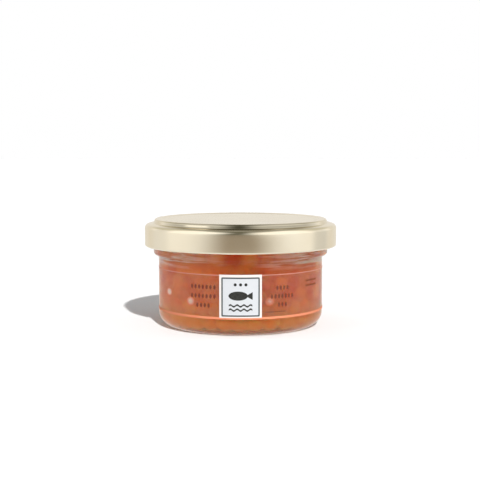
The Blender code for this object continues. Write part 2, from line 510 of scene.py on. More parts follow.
class ShaderGraph:
    """Adds and joins the nodes of one material, node group or world.

    Args:
        tree: The node tree that is filled.
    """

    def __init__(self, tree: bpy.types.NodeTree) -> None:
        """Remember the tree."""
        self.tree = tree

    def add(self, kind: str, inputs: dict | None = None, **settings: Value) -> bpy.types.Node:
        """Add a node.

        Args:
            kind: The node's type, without its common first word.
            inputs: Constants or sockets for its inputs.
            settings: Values for its other settings.

        Returns:
            The new node.
        """
        node = self.tree.nodes.new("ShaderNode" + kind)
        for name, value in settings.items():
            setattr(node, name, value)
        for key, value in (inputs or {}).items():
            self.feed(node.inputs[key], value)
        return node

    def feed(self, socket: bpy.types.NodeSocket, value: Value) -> None:
        """Set an input to a constant, or link a socket to it.

        Args:
            socket: The input.
            value: The constant, or the socket.
        """
        if isinstance(value, bpy.types.NodeSocket):
            self.tree.links.new(value, socket)
        elif socket.type == "RGBA":
            socket.default_value = (*value[:3], 1.0)
        else:
            socket.default_value = value

    def place(self) -> bpy.types.NodeSocket:
        """Give the place on the object."""
        return self.add("TexCoord").outputs["Object"]

    def axes(self) -> Sequence[bpy.types.NodeSocket]:
        """Give the place on the object as x, y and height."""
        return self.add("SeparateXYZ", {0: self.place()}).outputs

    def stretched(self, upright: float) -> bpy.types.NodeSocket:
        """Give the place on the object with its height stretched."""
        scaled = {"Vector": self.place(), "Scale": (1.0, 1.0, upright)}
        return self.add("Mapping", scaled).outputs[0]

    def attribute(self, name: str) -> bpy.types.NodeSocket:
        """Give a value that the mesh keeps for each point."""
        return self.add("Attribute", attribute_name=name).outputs["Fac"]

    def noise(
        self, scale: Value, detail: Value, vector: Value = None, **inputs: Value
    ) -> bpy.types.NodeSocket:
        """Give a cloudy value from 0 to 1.

        Args:
            scale: How many clouds there are to a metre.
            detail: How many finer layers they have.
            vector: Where it is read, the place on the object if it is left out.
            inputs: Constants for the node's other inputs.

        Returns:
            The cloudy value.
        """
        where = self.place() if vector is None else vector
        values = {"Vector": where, "Scale": scale, "Detail": detail, **inputs}
        return self.add("TexNoise", values).outputs[0]

    def math(self, operation: str, first: Value, second: Value = 0.0) -> bpy.types.NodeSocket:
        """Join two values by an operation."""
        return self.add("Math", {0: first, 1: second}, operation=operation).outputs[0]

    def times(self, first: Value, second: Value) -> bpy.types.NodeSocket:
        """Multiply two values."""
        return self.math("MULTIPLY", first, second)

    def size(self, value: Value) -> bpy.types.NodeSocket:
        """Give a value without its sign."""
        return self.math("ABSOLUTE", value)

    def length(self, first: Value, second: Value) -> bpy.types.NodeSocket:
        """Give the length of the flat vector that two values make."""
        flat = self.add("CombineXYZ", {0: first, 1: second}).outputs[0]
        return self.add("VectorMath", {0: flat}, operation="LENGTH").outputs["Value"]

    def remap(
        self, value: Value, low: Value, high: Value, new_low: Value = 0.0, new_high: Value = 1.0
    ) -> bpy.types.NodeSocket:
        """Map a value softly from one range to another, without leaving it."""
        ranges = {0: value, 1: low, 2: high, 3: new_low, 4: new_high}
        return self.add("MapRange", ranges, interpolation_type="SMOOTHSTEP").outputs[0]

    def ramp(self, value: Value, ramp: Ramp, unit: float = 1.0) -> bpy.types.NodeSocket:
        """Lay a ramp, whose range is given in a unit, over a value."""
        start, end = ramp.start * unit, ramp.end * unit
        return self.remap(value, start, end, ramp.before, ramp.after)

    def blend(self, amount: Value, first: Value, second: Value) -> bpy.types.NodeSocket:
        """Blend two colours."""
        return self.add("Mix", {0: amount, 6: first, 7: second}, data_type="RGBA").outputs[2]

    def bump(self, height: Value, strength: float, distance: float) -> bpy.types.NodeSocket:
        """Give the normal of a surface with a fine relief."""
        values = {"Height": height, "Strength": strength, "Distance": distance}
        return self.add("Bump", values).outputs[0]

    def group(self, group: bpy.types.NodeTree, **inputs: Value) -> bpy.types.NodeSocket:
        """Place a shared node group.

        Args:
            group: The group.
            inputs: Constants or sockets for its inputs.

        Returns:
            Its only output.
        """
        node = self.tree.nodes.new("ShaderNodeGroup")
        node.node_tree = group
        for name, value in inputs.items():
            self.feed(node.inputs[name], value)
        return node.outputs[0]

    def drift(
        self, scale: float, detail: float = 3.0, span: Span = (0.0, 1.0)
    ) -> bpy.types.NodeSocket:
        """Let a value drift over the surface between two ends."""
        low, high = span
        return self.group(mottle(), Scale=scale, Detail=detail, Low=low, High=high)


def new_material(name: str, **principled: Value) -> tuple[bpy.types.Material, ShaderGraph]:
    """Start a material with its main shader.

    Args:
        name: The material's name.
        principled: Constants for the shader's sockets, with _ for each space.

    Returns:
        The material and its graph.
    """
    material = bpy.data.materials.new(name)
    material.use_nodes = True
    graph = ShaderGraph(material.node_tree)
    shader = material.node_tree.nodes["Principled BSDF"]
    for key, value in principled.items():
        graph.feed(shader.inputs[key.replace("_", " ")], value)
    return material, graph


def dress(material: bpy.types.Material, **sockets: Value) -> bpy.types.Material:
    """Feed values that change over the surface to a material's shader.

    Args:
        material: The material.
        sockets: Values for the shader's sockets, with _ for each space.

    Returns:
        The same material.
    """
    graph = ShaderGraph(material.node_tree)
    shader = material.node_tree.nodes["Principled BSDF"]
    for key, value in sockets.items():
        graph.feed(shader.inputs[key.replace("_", " ")], value)
    return material


def start_group(name: str, output: str, **inputs: float) -> bpy.types.NodeTree:
    """Start a shared node group with its sockets.

    Args:
        name: The group's name.
        output: The name of its output value.
        inputs: Its input values' names and what they start with.

    Returns:
        The empty group.
    """
    group = bpy.data.node_groups.new(name, "ShaderNodeTree")
    for title, start in inputs.items():
        socket = group.interface.new_socket(title, in_out="INPUT", socket_type="NodeSocketFloat")
        socket.default_value = start
    group.interface.new_socket(output, in_out="OUTPUT", socket_type="NodeSocketFloat")
    return group


def mottle() -> bpy.types.NodeTree:
    """Make the shared group that lets a value drift over a surface in soft clouds.

    Returns:
        The group, made at the first call.
    """
    name = "surface_mottle"
    if name in bpy.data.node_groups:
        return bpy.data.node_groups[name]
    thin_cloud, thick_cloud = 0.3, 0.7
    group = start_group(name, "Value", Scale=100.0, Detail=3.0, Low=0.0, High=1.0)
    graph = ShaderGraph(group)
    inside = group.nodes.new("NodeGroupInput").outputs
    cloud = graph.noise(inside["Scale"], inside["Detail"])
    value = graph.remap(cloud, thin_cloud, thick_cloud, inside["Low"], inside["High"])
    group.links.new(value, group.nodes.new("NodeGroupOutput").inputs[0])
    return group


def scuffs() -> bpy.types.NodeTree:
    """Make the shared group that masks fine short scuffs, 1 on a scuff and 0 beside it.

    Returns:
        The group, made at the first call.
    """
    name = "fine_scuffs"
    if name in bpy.data.node_groups:
        return bpy.data.node_groups[name]
    stretch, detail, swirl, highest_grain, steepness = 0.12, 2.0, 1.5, 0.74, 8.0
    group = start_group(name, "Mask", Scale=400.0, Share=0.1)
    graph = ShaderGraph(group)
    inside = group.nodes.new("NodeGroupInput").outputs
    grain = graph.noise(inside["Scale"], detail, graph.stretched(stretch), Distortion=swirl)
    edge = graph.math("SUBTRACT", highest_grain, inside["Share"])
    mask = graph.times(graph.math("SUBTRACT", grain, edge), steepness)
    clipped = graph.add("Clamp", {0: mask}).outputs[0]
    group.links.new(clipped, group.nodes.new("NodeGroupOutput").inputs[0])
    return group


@dataclass(frozen=True)
class ClearGlass:
    """Clear pressed glass with the faint waves of its mould."""

    tint: Colour = (0.965, 0.985, 0.97)
    mirror_tint: Colour = (0.5, 0.5, 0.5)
    ior: float = 1.5
    wave_scale: float = 90.0
    wave_strength: float = 0.35
    wave_depth: float = 0.00012
    scuff_scale: float = 500.0
    scuff_share: float = 0.02
    scuff_roughness: float = 0.12

    def material(self) -> bpy.types.Material:
        """Make the material.

        Returns:
            The jar's material.
        """
        material, graph = new_material(
            "clear_glass",
            Base_Color=self.tint,
            IOR=self.ior,
            Transmission_Weight=1.0,
            Specular_Tint=self.mirror_tint,
        )
        worn = graph.group(scuffs(), Scale=self.scuff_scale, Share=self.scuff_share)
        waves = graph.drift(self.wave_scale, detail=1.0)
        return dress(
            material,
            Roughness=graph.times(worn, self.scuff_roughness),
            Normal=graph.bump(waves, self.wave_strength, self.wave_depth),
        )


@dataclass(frozen=True)
class PaintedShadeRing:
    """A ring round the lid darkened with painted shade, where its pressed lines mirror dark
    surroundings, in millimetres.
    """

    radius: float
    height: float
    reach: float
    depth: Value
    full_share: float = 0.35

    def mask(self, graph: ShaderGraph, radius: Value, height: Value) -> bpy.types.NodeSocket:
        """Mask the ring's painted shade.

        Args:
            graph: The graph of the lid's material.
            radius: The distance from the axis.
            height: The height.

        Returns:
            The ring's depth on the ring, and 0 beyond its reach.
        """
        out = graph.math("SUBTRACT", radius, self.radius * MM)
        up = graph.math("SUBTRACT", height, self.height * MM)
        ramp = Ramp(self.reach * self.full_share, self.reach, self.depth, 0.0)
        return graph.ramp(graph.length(out, up), ramp, MM)


@dataclass(frozen=True)
class LacqueredGold:
    """Pale gold lacquer over tinplate: a satin metal whose gloss drifts a little, with painted
    shade on its step and pressed lines.
    """

    thin: Colour = (0.87, 0.79, 0.63)
    deep: Colour = (0.84, 0.75, 0.58)
    # the colour of the painted shade on the step and the pressed lines
    shaded: Colour = (0.20, 0.18, 0.13)
    tone_scale: float = 60.0
    gloss_scale: float = 90.0
    roughness: Span = (0.11, 0.15)
    scuff_scale: float = 700.0
    scuff_share: float = 0.05
    scuff_roughness: float = 0.12
    peel_scale: float = 1500.0
    peel_strength: float = 0.08
    peel_depth: float = 0.00002
    # rings of painted shade at the panel's edge and at the step's foot
    painted_shade_rings: tuple[PaintedShadeRing, ...] = (
        PaintedShadeRing(32.52, 39.98, 0.40, 0.68),
        PaintedShadeRing(33.2, 38.88, 0.55, 0.6),
    )
    # the painted shade is strongest at the front and the back and fades towards both sides
    shade_fade_sides: Ramp = Ramp(19.0, 29.0, 1.0, 0.15)
    # the step wall's own ring of painted shade: radius, height and reach
    step_shade_place: tuple[float, float, float] = (32.95, 39.35, 0.75)
    # a patch of painted light on the step, where its painted shade is weak
    light_patch_middle: float = -15.5
    light_patch_sides: Ramp = Ramp(2.5, 5.5, 0.1, 0.75)

    def painted_shade_lines(self, graph: ShaderGraph) -> bpy.types.NodeSocket:
        """Mask the painted shade on the step and its pressed lines, faint towards both sides and
        on one patch of painted light.

        Args:
            graph: The graph of the lid's material.

        Returns:
            A mask of painted shade, 0 off the lines.
        """
        x, y, height = graph.axes()
        radius = graph.length(x, y)
        off_light_patch = graph.size(graph.math("SUBTRACT", x, self.light_patch_middle * MM))
        step = PaintedShadeRing(*self.step_shade_place, graph.ramp(off_light_patch, self.light_patch_sides, MM))
        mask: Value = 0.0
        for line in (*self.painted_shade_rings, step):
            mask = graph.math("MAXIMUM", mask, line.mask(graph, radius, height))
        return graph.times(mask, graph.ramp(graph.size(x), self.shade_fade_sides, MM))

    def material(self) -> bpy.types.Material:
        """Make the material.

        Returns:
            The lid's material.
        """
        material, graph = new_material("champagne_gold", Metallic=1.0)
        lacquer = graph.blend(graph.drift(self.tone_scale, detail=4.0), self.thin, self.deep)
        worn = graph.group(scuffs(), Scale=self.scuff_scale, Share=self.scuff_share)
        satin = graph.drift(self.gloss_scale, span=self.roughness)
        peel = graph.drift(self.peel_scale, detail=2.0)
        return dress(
            # the base colour carries the painted shade and the patch of painted light
            material,
            Base_Color=graph.blend(self.painted_shade_lines(graph), lacquer, self.shaded),
            Roughness=graph.math("ADD", satin, graph.times(worn, self.scuff_roughness)),
            Normal=graph.bump(peel, self.peel_strength, self.peel_depth),
        )


@dataclass(frozen=True)
class SalmonEgg:
    """The skin and flesh of the eggs, each with its own tone and a cluster of oil, with painted
    reflection streaks near the top.
    """

    pale: Colour = (0.93, 0.24, 0.05)
    deep: Colour = (0.70, 0.07, 0.011)
    amber: Colour = (0.79, 0.30, 0.075)
    oil: Colour = (0.86, 0.20, 0.02)
    # painted light: warmer amber towards the bottom, where the white floor's light comes through
    # the base
    floor_light_level: Ramp = Ramp(6.0, 14.0, 0.9, 0.1)
    amber_scale: float = 75.0
    amber_drift: Span = (0.0, 0.4)
    vein_scale: float = 420.0
    vein_share: float = 0.25
    vein_relief: float = 0.2
    vein_depth: float = 0.00015
    oil_share: float = 0.5
    ior: float = 1.38
    mirror_level: float = 0.1
    scatter: Colour = (1.0, 0.38, 0.16)
    scatter_share: float = 0.75
    scatter_reach: float = 0.0024
    gloss_scale: float = 900.0
    roughness: Span = (0.12, 0.3)
    # painted reflection: pale streaks of mirrored light on the uppermost eggs
    streak_reflection: Colour = (1.0, 0.42, 0.30)
    streak_reflection_pale: Colour = (1.0, 0.68, 0.56)
    reflection_streak_scale: float = 45.0
    reflection_streak_stretch: float = 11.0
    reflection_streak_cover: Ramp = Ramp(0.42, 0.57, 0.05, 0.95)
    reflection_streak_level: Ramp = Ramp(23.0, 25.5)
    reflection_streak_sides: Ramp = Ramp(3.0, 12.0)
    reflection_pale_sides: Ramp = Ramp(12.0, 24.0)

    def painted_reflection_streaks(self, graph: ShaderGraph) -> tuple[bpy.types.NodeSocket, ...]:
        """Paint level streaks of reflected light on the uppermost eggs, thinner before the middle
        and paler towards the sides: a painted reflection.

        Args:
            graph: The graph of the eggs' material.

        Returns:
            How much of the painted reflection covers an egg, and its colour.
        """
        x, _, height = graph.axes()
        aside = graph.size(x)
        level = graph.stretched(self.reflection_streak_stretch)
        streaks = graph.noise(self.reflection_streak_scale, detail=3.0, vector=level)
        sides = graph.ramp(aside, self.reflection_streak_sides, MM)
        where = graph.times(sides, graph.ramp(height, self.reflection_streak_level, MM))
        cover = graph.times(graph.ramp(streaks, self.reflection_streak_cover), where)
        paleness = graph.ramp(aside, self.reflection_pale_sides, MM)
        return cover, graph.blend(paleness, self.streak_reflection, self.streak_reflection_pale)

    def material(self) -> bpy.types.Material:
        """Make the material, which reads each egg's tone and its oil.

        Returns:
            The material of the whole heap.
        """
        material, graph = new_material(
            "salmon_egg",
            IOR=self.ior,
            Specular_IOR_Level=self.mirror_level,
            Subsurface_Weight=self.scatter_share,
            Subsurface_Radius=self.scatter,
            Subsurface_Scale=self.scatter_reach,
        )
        flesh = graph.blend(graph.attribute("egg_tone"), self.deep, self.pale)
        # painted floor light: warmer amber low down
        painted_floor_light = graph.ramp(graph.axes()[2], self.floor_light_level, MM)
        patches = graph.drift(self.amber_scale, detail=2.0, span=self.amber_drift)
        flesh = graph.blend(graph.math("MAXIMUM", painted_floor_light, patches), flesh, self.amber)
        veins = graph.drift(self.vein_scale)
        veined = graph.blend(graph.times(veins, self.vein_share), flesh, self.deep)
        oily = graph.times(graph.attribute("egg_oil"), self.oil_share)
        skin = graph.blend(oily, veined, self.oil)
        # painted reflection streaks laid over the skin
        cover, streak_reflection = self.painted_reflection_streaks(graph)
        return dress(
            material,
            Base_Color=graph.blend(cover, skin, streak_reflection),
            Roughness=graph.drift(self.gloss_scale, span=self.roughness),
            Normal=graph.bump(veins, self.vein_relief, self.vein_depth),
        )


@dataclass(frozen=True)
class Brine:
    """The clear amber liquid round the eggs."""

    tint: Colour = (1.0, 0.95, 0.88)
    rich_tint: Colour = (0.99, 0.90, 0.78)
    rich_share: float = 0.5
    tint_scale: float = 130.0
    mirror_tint: Colour = (0.0, 0.0, 0.0)
    ior: float = 1.36
    haze_scale: float = 200.0
    haze: Span = (0.0, 0.05)

    def material(self) -> bpy.types.Material:
        """Make the material.

        Returns:
            The liquid's material.
        """
        material, graph = new_material(
            "brine", IOR=self.ior, Transmission_Weight=1.0, Specular_Tint=self.mirror_tint
        )
        richness = graph.times(graph.drift(self.tint_scale), self.rich_share)
        return dress(
            material,
            Base_Color=graph.blend(richness, self.tint, self.rich_tint),
            Roughness=graph.drift(self.haze_scale, span=self.haze),
        )


@dataclass(frozen=True)
class AirPocketGlint:
    """Small pockets and streaks of air against the glass, with a painted glint: pale in the middle
    of each, as if they mirrored the light.
    """

    # the painted glint in each pocket's middle, fading through dim to the rim
    bright: Colour = (1.0, 0.72, 0.62)
    dim: Colour = (1.0, 0.36, 0.24)
    rim: Colour = (0.95, 0.20, 0.06)
    rim_fades: Ramp = Ramp(0.0, 0.35)
    core_starts: Ramp = Ramp(0.2, 0.7)
    mirror_level: float = 0.15
    gloss_scale: float = 600.0
    roughness: Span = (0.25, 0.45)

    def material(self) -> bpy.types.Material:
        """Make the material, which reads how far inside its pocket each point is and how strong
        its painted glint is.

        Returns:
            The material of all pockets.
        """
        material, graph = new_material("air_pocket", Specular_IOR_Level=self.mirror_level)
        core = graph.attribute("pocket_glint")
        outer = graph.blend(graph.ramp(core, self.rim_fades), self.rim, self.dim)
        return dress(
            material,
            Base_Color=graph.blend(graph.ramp(core, self.core_starts), outer, self.bright),
            Roughness=graph.drift(self.gloss_scale, span=self.roughness),
        )


@dataclass(frozen=True)
class WrapFilm:
    """Clear plastic film with a thin pinkish haze."""

    haze: Colour = (0.86, 0.55, 0.46)
    deep_haze: Colour = (0.80, 0.44, 0.36)
    haze_scale: float = 120.0
    haze_stretch: float = 3.0
    cover: Ramp = Ramp(0.3, 0.7, 0.02, 0.05)
    ior: float = 1.48
    mirror_level: float = 0.5
    gloss_scale: float = 350.0
    roughness: Span = (0.22, 0.38)
    relief: float = 0.1
    relief_depth: float = 0.0001

    def material(self) -> bpy.types.Material:
        """Make the material.

        Returns:
            The film's material.
        """
        material, graph = new_material(
            "label_film", IOR=self.ior, Specular_IOR_Level=self.mirror_level
        )
        level = graph.stretched(self.haze_stretch)
        hazy = graph.noise(self.haze_scale, detail=4.0, vector=level)
        return dress(
            material,
            Base_Color=graph.blend(hazy, self.haze, self.deep_haze),
            Alpha=graph.ramp(hazy, self.cover),
            Roughness=graph.drift(self.gloss_scale, span=self.roughness),
            Normal=graph.bump(hazy, self.relief, self.relief_depth),
        )


@dataclass(frozen=True)
class PrintedInk:
    """Ink on film or paper, laid a little unevenly."""

    name: str
    colour: Colour
    worn: Colour
    worn_scale: float = 1400.0
    worn_share: float = 0.6
    mirror_level: float = 0.1
    gloss_scale: float = 800.0
    roughness: Span = (0.5, 0.65)
    relief: float = 0.1
    relief_depth: float = 0.00003

    def material(self) -> bpy.types.Material:
        """Make the material.

        Returns:
            The ink's material.
        """
        material, graph = new_material(self.name, Specular_IOR_Level=self.mirror_level)
        uneven = graph.drift(self.worn_scale, detail=4.0)
        share = graph.times(uneven, self.worn_share)
        return dress(
            material,
            Base_Color=graph.blend(share, self.colour, self.worn),
            Roughness=graph.drift(self.gloss_scale, span=self.roughness),
            Normal=graph.bump(uneven, self.relief, self.relief_depth),
        )


@dataclass(frozen=True)
class BadgePaper:
    """Smooth coated paper with a fine fibre, whose rim lies outside the printed frame."""

    frame_half: float
    frame_low: float
    frame_high: float
    sheet: Colour = (0.68, 0.70, 0.725)
    rim: Colour = (0.86, 0.79, 0.75)
    fibre_scale: float = 2200.0
    fibre_shade: float = 0.97
    fibre_relief: float = 0.12
    fibre_depth: float = 0.00004
    mirror_level: float = 0.35
    gloss_scale: float = 900.0
    roughness: Span = (0.4, 0.55)

    def material(self) -> bpy.types.Material:
        """Make the material, warmer on the rim.

        Returns:
            The badge's material.
        """
        material, graph = new_material("badge_paper", Specular_IOR_Level=self.mirror_level)
        x, _, height = graph.axes()
        beside = graph.math("GREATER_THAN", graph.size(x), self.frame_half * MM)
        above = graph.math("GREATER_THAN", height, self.frame_high * MM)
        below = graph.math("LESS_THAN", height, self.frame_low * MM)
        outside = graph.math("MAXIMUM", beside, graph.math("MAXIMUM", above, below))
        fibre = graph.drift(self.fibre_scale, detail=5.0)
        shaded = tuple(self.fibre_shade * part for part in self.sheet)
        return dress(
            material,
            Base_Color=graph.blend(outside, graph.blend(fibre, self.sheet, shaded), self.rim),
            Roughness=graph.drift(self.gloss_scale, span=self.roughness),
            Normal=graph.bump(fibre, self.fibre_relief, self.fibre_depth),
        )


@dataclass(frozen=True)
class StudioFloor:
    """The plain white table top."""

    pale: Colour = (1.0, 1.0, 1.0)
    shade: Colour = (0.985, 0.985, 0.985)
    bounce: Colour = (0.35, 0.35, 0.35)
    shade_scale: float = 40.0
    roughness: float = 0.9
    mirror_level: float = 0.1

    def material(self) -> bpy.types.Material:
        """Make the material, which throws little light back on the jar.

        Returns:
            The table's material.
        """
        material, graph = new_material(
            "studio_floor", Roughness=self.roughness, Specular_IOR_Level=self.mirror_level
        )
        top = graph.blend(graph.drift(self.shade_scale, detail=5.0), self.pale, self.shade)
        bounced = graph.add("LightPath").outputs["Is Diffuse Ray"]
        return dress(material, Base_Color=graph.blend(bounced, top, self.bounce))


# The jar


@dataclass
class GlassJar:
    """The pressed glass jar: one closed wall from its knurled base to its rim."""

    body_radius: float = 31.1
    wall: float = 2.0
    heel: float = 5.3
    inner_heel: float = 3.5
    ring_width: float = 2.2
    push_up: float = 1.0
    push_up_radius: float = 19.0
    push_up_fillet: float = 3.0
    floor_edge: float = 2.2
    floor_rise: float = 0.8
    flare_start: float = 26.2
    bead_radius: float = 33.0
    bead_low: float = 27.2
    bead_high: float = 29.2
    neck_radius: float = 32.3
    neck_low: float = 30.0
    neck_high: float = 31.0
    finish_radius: float = 33.2
    finish_low: float = 31.8
    mouth_radius: float = 30.0
    mouth_low: float = 31.0
    shoulder: float = 28.6
    rim_height: float = 37.5
    rim_edge: float = 1.3
    push_up_edge: float = 0.5
    flare_fillet: float = 0.7
    bead_fillets: Span = (1.0, 0.5)
    neck_fillets: Span = (0.4, 0.3)
    finish_fillet: float = 0.3
    shoulder_fillet: float = 2.0
    steps: int = 288
    knurl_depth: float = 0.22
    knurl_span: Span = (24.0, 27.6)
    knurl_top: float = 1.2
    glass: ClearGlass = field(default_factory=ClearGlass)

    @property
    def inside_radius(self) -> float:
        """Give the radius of the inner wall."""
        return self.body_radius - self.wall

    def outline(self) -> list[Vector]:
        """Give the outline, from the middle of the underside round to the inner floor.

        Returns:
            The outline's points as (radius, height).
        """
        ring_radius = self.body_radius - self.heel - self.ring_width
        bead_low_fillet, bead_high_fillet = self.bead_fillets
        neck_low_fillet, neck_high_fillet = self.neck_fillets
        return rounded(
            [
                Corner(0.0, self.push_up),
                Corner(self.push_up_radius, self.push_up, self.push_up_fillet),
                Corner(ring_radius, 0.0, self.push_up_edge),
                Corner(self.body_radius, 0.0, self.heel),
                Corner(self.body_radius, self.flare_start, self.flare_fillet),
                Corner(self.bead_radius, self.bead_low, bead_low_fillet),
                Corner(self.bead_radius, self.bead_high, bead_high_fillet),
                Corner(self.neck_radius, self.neck_low, neck_low_fillet),
                Corner(self.neck_radius, self.neck_high, neck_high_fillet),
                Corner(self.finish_radius, self.finish_low, self.finish_fillet),
                Corner(self.finish_radius, self.rim_height, self.rim_edge),
                Corner(self.mouth_radius, self.rim_height, self.rim_edge),
                Corner(self.mouth_radius, self.mouth_low, self.shoulder_fillet),
                Corner(self.inside_radius, self.shoulder, self.shoulder_fillet),
                Corner(self.inside_radius, self.floor_edge, self.inner_heel),
                Corner(0.0, self.floor_edge + self.floor_rise),
            ]
        )

    def knurl(self, piece: bpy.types.Object) -> None:
        """Press the fine notches into the ring that the jar stands on.

        Args:
            piece: The turned jar.
        """
        near, far = self.knurl_span
        sector = math.tau / self.steps

        def in_notch(centre: Vector, normal: Vector) -> bool:
            """Tell whether a face of the underside belongs to a notch.

            Args:
                centre: The face's middle.
                normal: The way that it looks.

            Returns:
                Whether it is on the ring, looks down and is in every second sector.
            """
            on_ring = near < math.hypot(centre.x, centre.y) < far and centre.z < self.knurl_top
            looks_down = normal.z < -0.5
            turn = int((math.atan2(centre.y, centre.x) % math.tau) / sector)
            return on_ring and looks_down and turn % 2 == 0

        with EditMode(piece) as edit:
            edit.pick_faces(in_notch)
            bpy.ops.mesh.extrude_region_move(
                TRANSFORM_OT_translate={"value": (0, 0, self.knurl_depth)}
            )

    def build(self) -> None:
        """Build the jar and set it on the frame."""
        jar = spin_outline("jar_glass", self.outline(), self.steps)
        self.knurl(jar)
        hand_over(jar, self.glass.material(), Slot.GLASS, Solid.JAR)


# The roe


@dataclass(frozen=True)
class AirSpot:
    """A pocket of air on the inner wall: its middle, its half sizes and how pale its painted glint
    is.
    """

    along: float
    height: float
    half_width: float
    half_height: float
    paleness: float


@dataclass
class RoeFill:
    """The eggs pressed against the glass, the heap behind them, and their liquid."""

    jar: GlassJar
    clearance: float = 0.15
    overlap: float = 0.1
    egg_radius: float = 3.3
    egg_spread: float = 0.32
    egg_stretch: Span = (0.95, 1.05)
    egg_cuts: int = 3
    spacing: float = 5.5
    row_share: float = 0.87
    shuffle_along: float = 1.5
    shuffle_up: float = 1.2
    push_share: float = 0.22
    relax_rounds: int = 30
    pressed: float = 0.9
    sunk: Span = (-0.35, 0.1)
    wall_low: float = 5.0
    wall_high: float = 31.8
    rings: int = 5
    ring_step: float = 5.3
    ring_swing: float = 0.12
    ring_sunk: float = 0.4
    core_depth: float = 1.0
    core_fillet: float = 2.0
    core_steps: int = 96
    skin_step: float = 0.5
    softening: int = 3
    softness: float = 0.5
    tone_fade: float = 0.45
    oil_edge: float = 0.62
    oil_fade: float = 0.3
    top: float = 34.6
    liquid_top: float = 35.5
    seen_spots: tuple[AirSpot, ...] = (
        AirSpot(-30.5, 14.3, 1.9, 1.5, 1.3),
        AirSpot(-18.9, 12.1, 1.8, 1.7, 0.95),
        AirSpot(10.5, 12.5, 1.8, 1.6, 0.5),
    )
    back_spots: int = 14
    back_along: Span = (50.0, 133.0)
    back_height: Span = (8.0, 26.0)
    back_size: Span = (0.5, 1.1)
    # thin streaks of air at the bead, pale with a painted glint
    streaks: int = 16
    streak_height: float = 27.0
    streak_scatter: float = 1.5
    streak_limits: Span = (23.4, 30.4)
    streak_width: Span = (2.5, 9.0)
    streak_tall: Span = (0.06, 0.22)
    streak_paleness: float = 1.3
    pocket_depth: float = 0.12
    pocket_inset: float = 0.1
    pocket_stands_out: float = 0.02
    pocket_lift: float = 0.08
    seed: int = 7

    def spread(self, radius: float, draw: random.Random) -> np.ndarray:
        """Spread egg centres evenly round a cylinder by pushing close ones apart.

        Args:
            radius: The cylinder's radius.
            draw: The source of the random offsets.

        Returns:
            One row of (length round the wall, height) for each egg.
        """
        low, high = self.wall_low, self.wall_high
        around = math.tau * radius
        rows = round((high - low) / (self.spacing * self.row_share)) + 1
        columns = round(around / self.spacing)
        places = np.array(
            [
                (
                    (column + 0.5 * (row % 2)) * around / columns
                    + draw.gauss(0, self.shuffle_along),
                    low + (high - low) * row / (rows - 1) + draw.gauss(0, self.shuffle_up),
                )
                for row in range(rows)
                for column in range(columns)
            ]
        )
        out_of_reach = 1e3
        far_from_itself = np.eye(len(places)) * out_of_reach
        for _ in range(self.relax_rounds):
            apart = places[:, None] - places[None]
            apart[..., 0] = (apart[..., 0] + around / 2) % around - around / 2
            distance = np.linalg.norm(apart, axis=2) + far_from_itself
            push = np.clip(self.spacing - distance, 0.0, None) / distance
            places += self.push_share * (apart * push[..., None]).sum(1)
            places[:, 1] = np.clip(places[:, 1], low, high)
        return places

    def wall_centres(self, draw: random.Random) -> list[Vector]:
        """Give the centres of the eggs along the wall.

        Args:
            draw: The source of the random offsets.

        Returns:
            The centres.
        """
        found = []
        radius = self.jar.inside_radius - self.egg_radius + self.pressed
        for along, height in self.spread(radius, draw):
            here = radius + draw.uniform(*self.sunk)
            angle = along / radius
            found.append(Vector((here * math.sin(angle), -here * math.cos(angle), height)))
        return found

    def floor_centres(self, draw: random.Random) -> list[Vector]:
        """Give the centres of the eggs that lie on the floor, ring by ring.

        Args:
            draw: The source of the random offsets.

        Returns:
            The centres.
        """
        found = []
        for ring in range(self.rings):
            radius = ring * self.ring_step
            count = max(1, round(math.tau * radius / self.spacing))
            for index in range(count):
                swing = draw.uniform(-self.ring_swing, self.ring_swing)
                angle = math.tau * (index + swing) / count + ring
                sunk = draw.uniform(0.0, self.ring_sunk)
                height = self.jar.floor_edge + self.egg_radius - sunk
                found.append(Vector((radius * math.cos(angle), radius * math.sin(angle), height)))
        return found

    def press(self, points: np.ndarray) -> np.ndarray:
        """Press points back inside the jar's wall, heel and floor.

        Args:
            points: Points of the eggs.

        Returns:
            The points, with those that stood in the glass moved onto it.
        """
        reach = np.hypot(points[:, 0], points[:, 1])
        height = points[:, 2].copy()
        limit = self.jar.inside_radius - self.clearance
        heel = self.jar.inner_heel - self.clearance
        heel_radius = self.jar.inside_radius - self.jar.inner_heel
        heel_height = self.jar.floor_edge + self.jar.inner_heel
        floor = self.jar.floor_edge + self.clearance + self.jar.floor_rise * (
            1 - reach / self.jar.inside_radius
        )
        out, down = reach - heel_radius, heel_height - height
        deep = np.hypot(out, down)
        in_corner = (out > 0) & (down > 0) & (deep > heel)
        shrink = np.where(in_corner, heel / np.maximum(deep, HARDLY_ANYTHING), 1.0)
        new_reach = np.where(in_corner, heel_radius + out * shrink, np.minimum(reach, limit))
        height = np.where(in_corner, heel_height - down * shrink, np.maximum(height, floor))
        height = np.minimum(height, self.top)
        scale = new_reach / np.maximum(reach, HARDLY_ANYTHING)
        return np.stack([points[:, 0] * scale, points[:, 1] * scale, height], axis=1)

    def one_egg(self) -> bpy.types.Object:
        """Model the egg that all others are copies of.

        Returns:
            A ball of radius 1 round the origin.
        """
        bpy.ops.object.select_all(action="DESELECT")
        bpy.ops.mesh.primitive_cube_add(size=2.0)
        egg = bpy.context.object
        with EditMode(egg) as edit:
            edit.pick_all()
            bpy.ops.mesh.subdivide(number_cuts=self.egg_cuts)
            bpy.ops.transform.tosphere(value=1.0, center_override=(0, 0, 0))
        reshape(egg, lambda points: points / np.linalg.norm(points, axis=1, keepdims=True))
        return egg

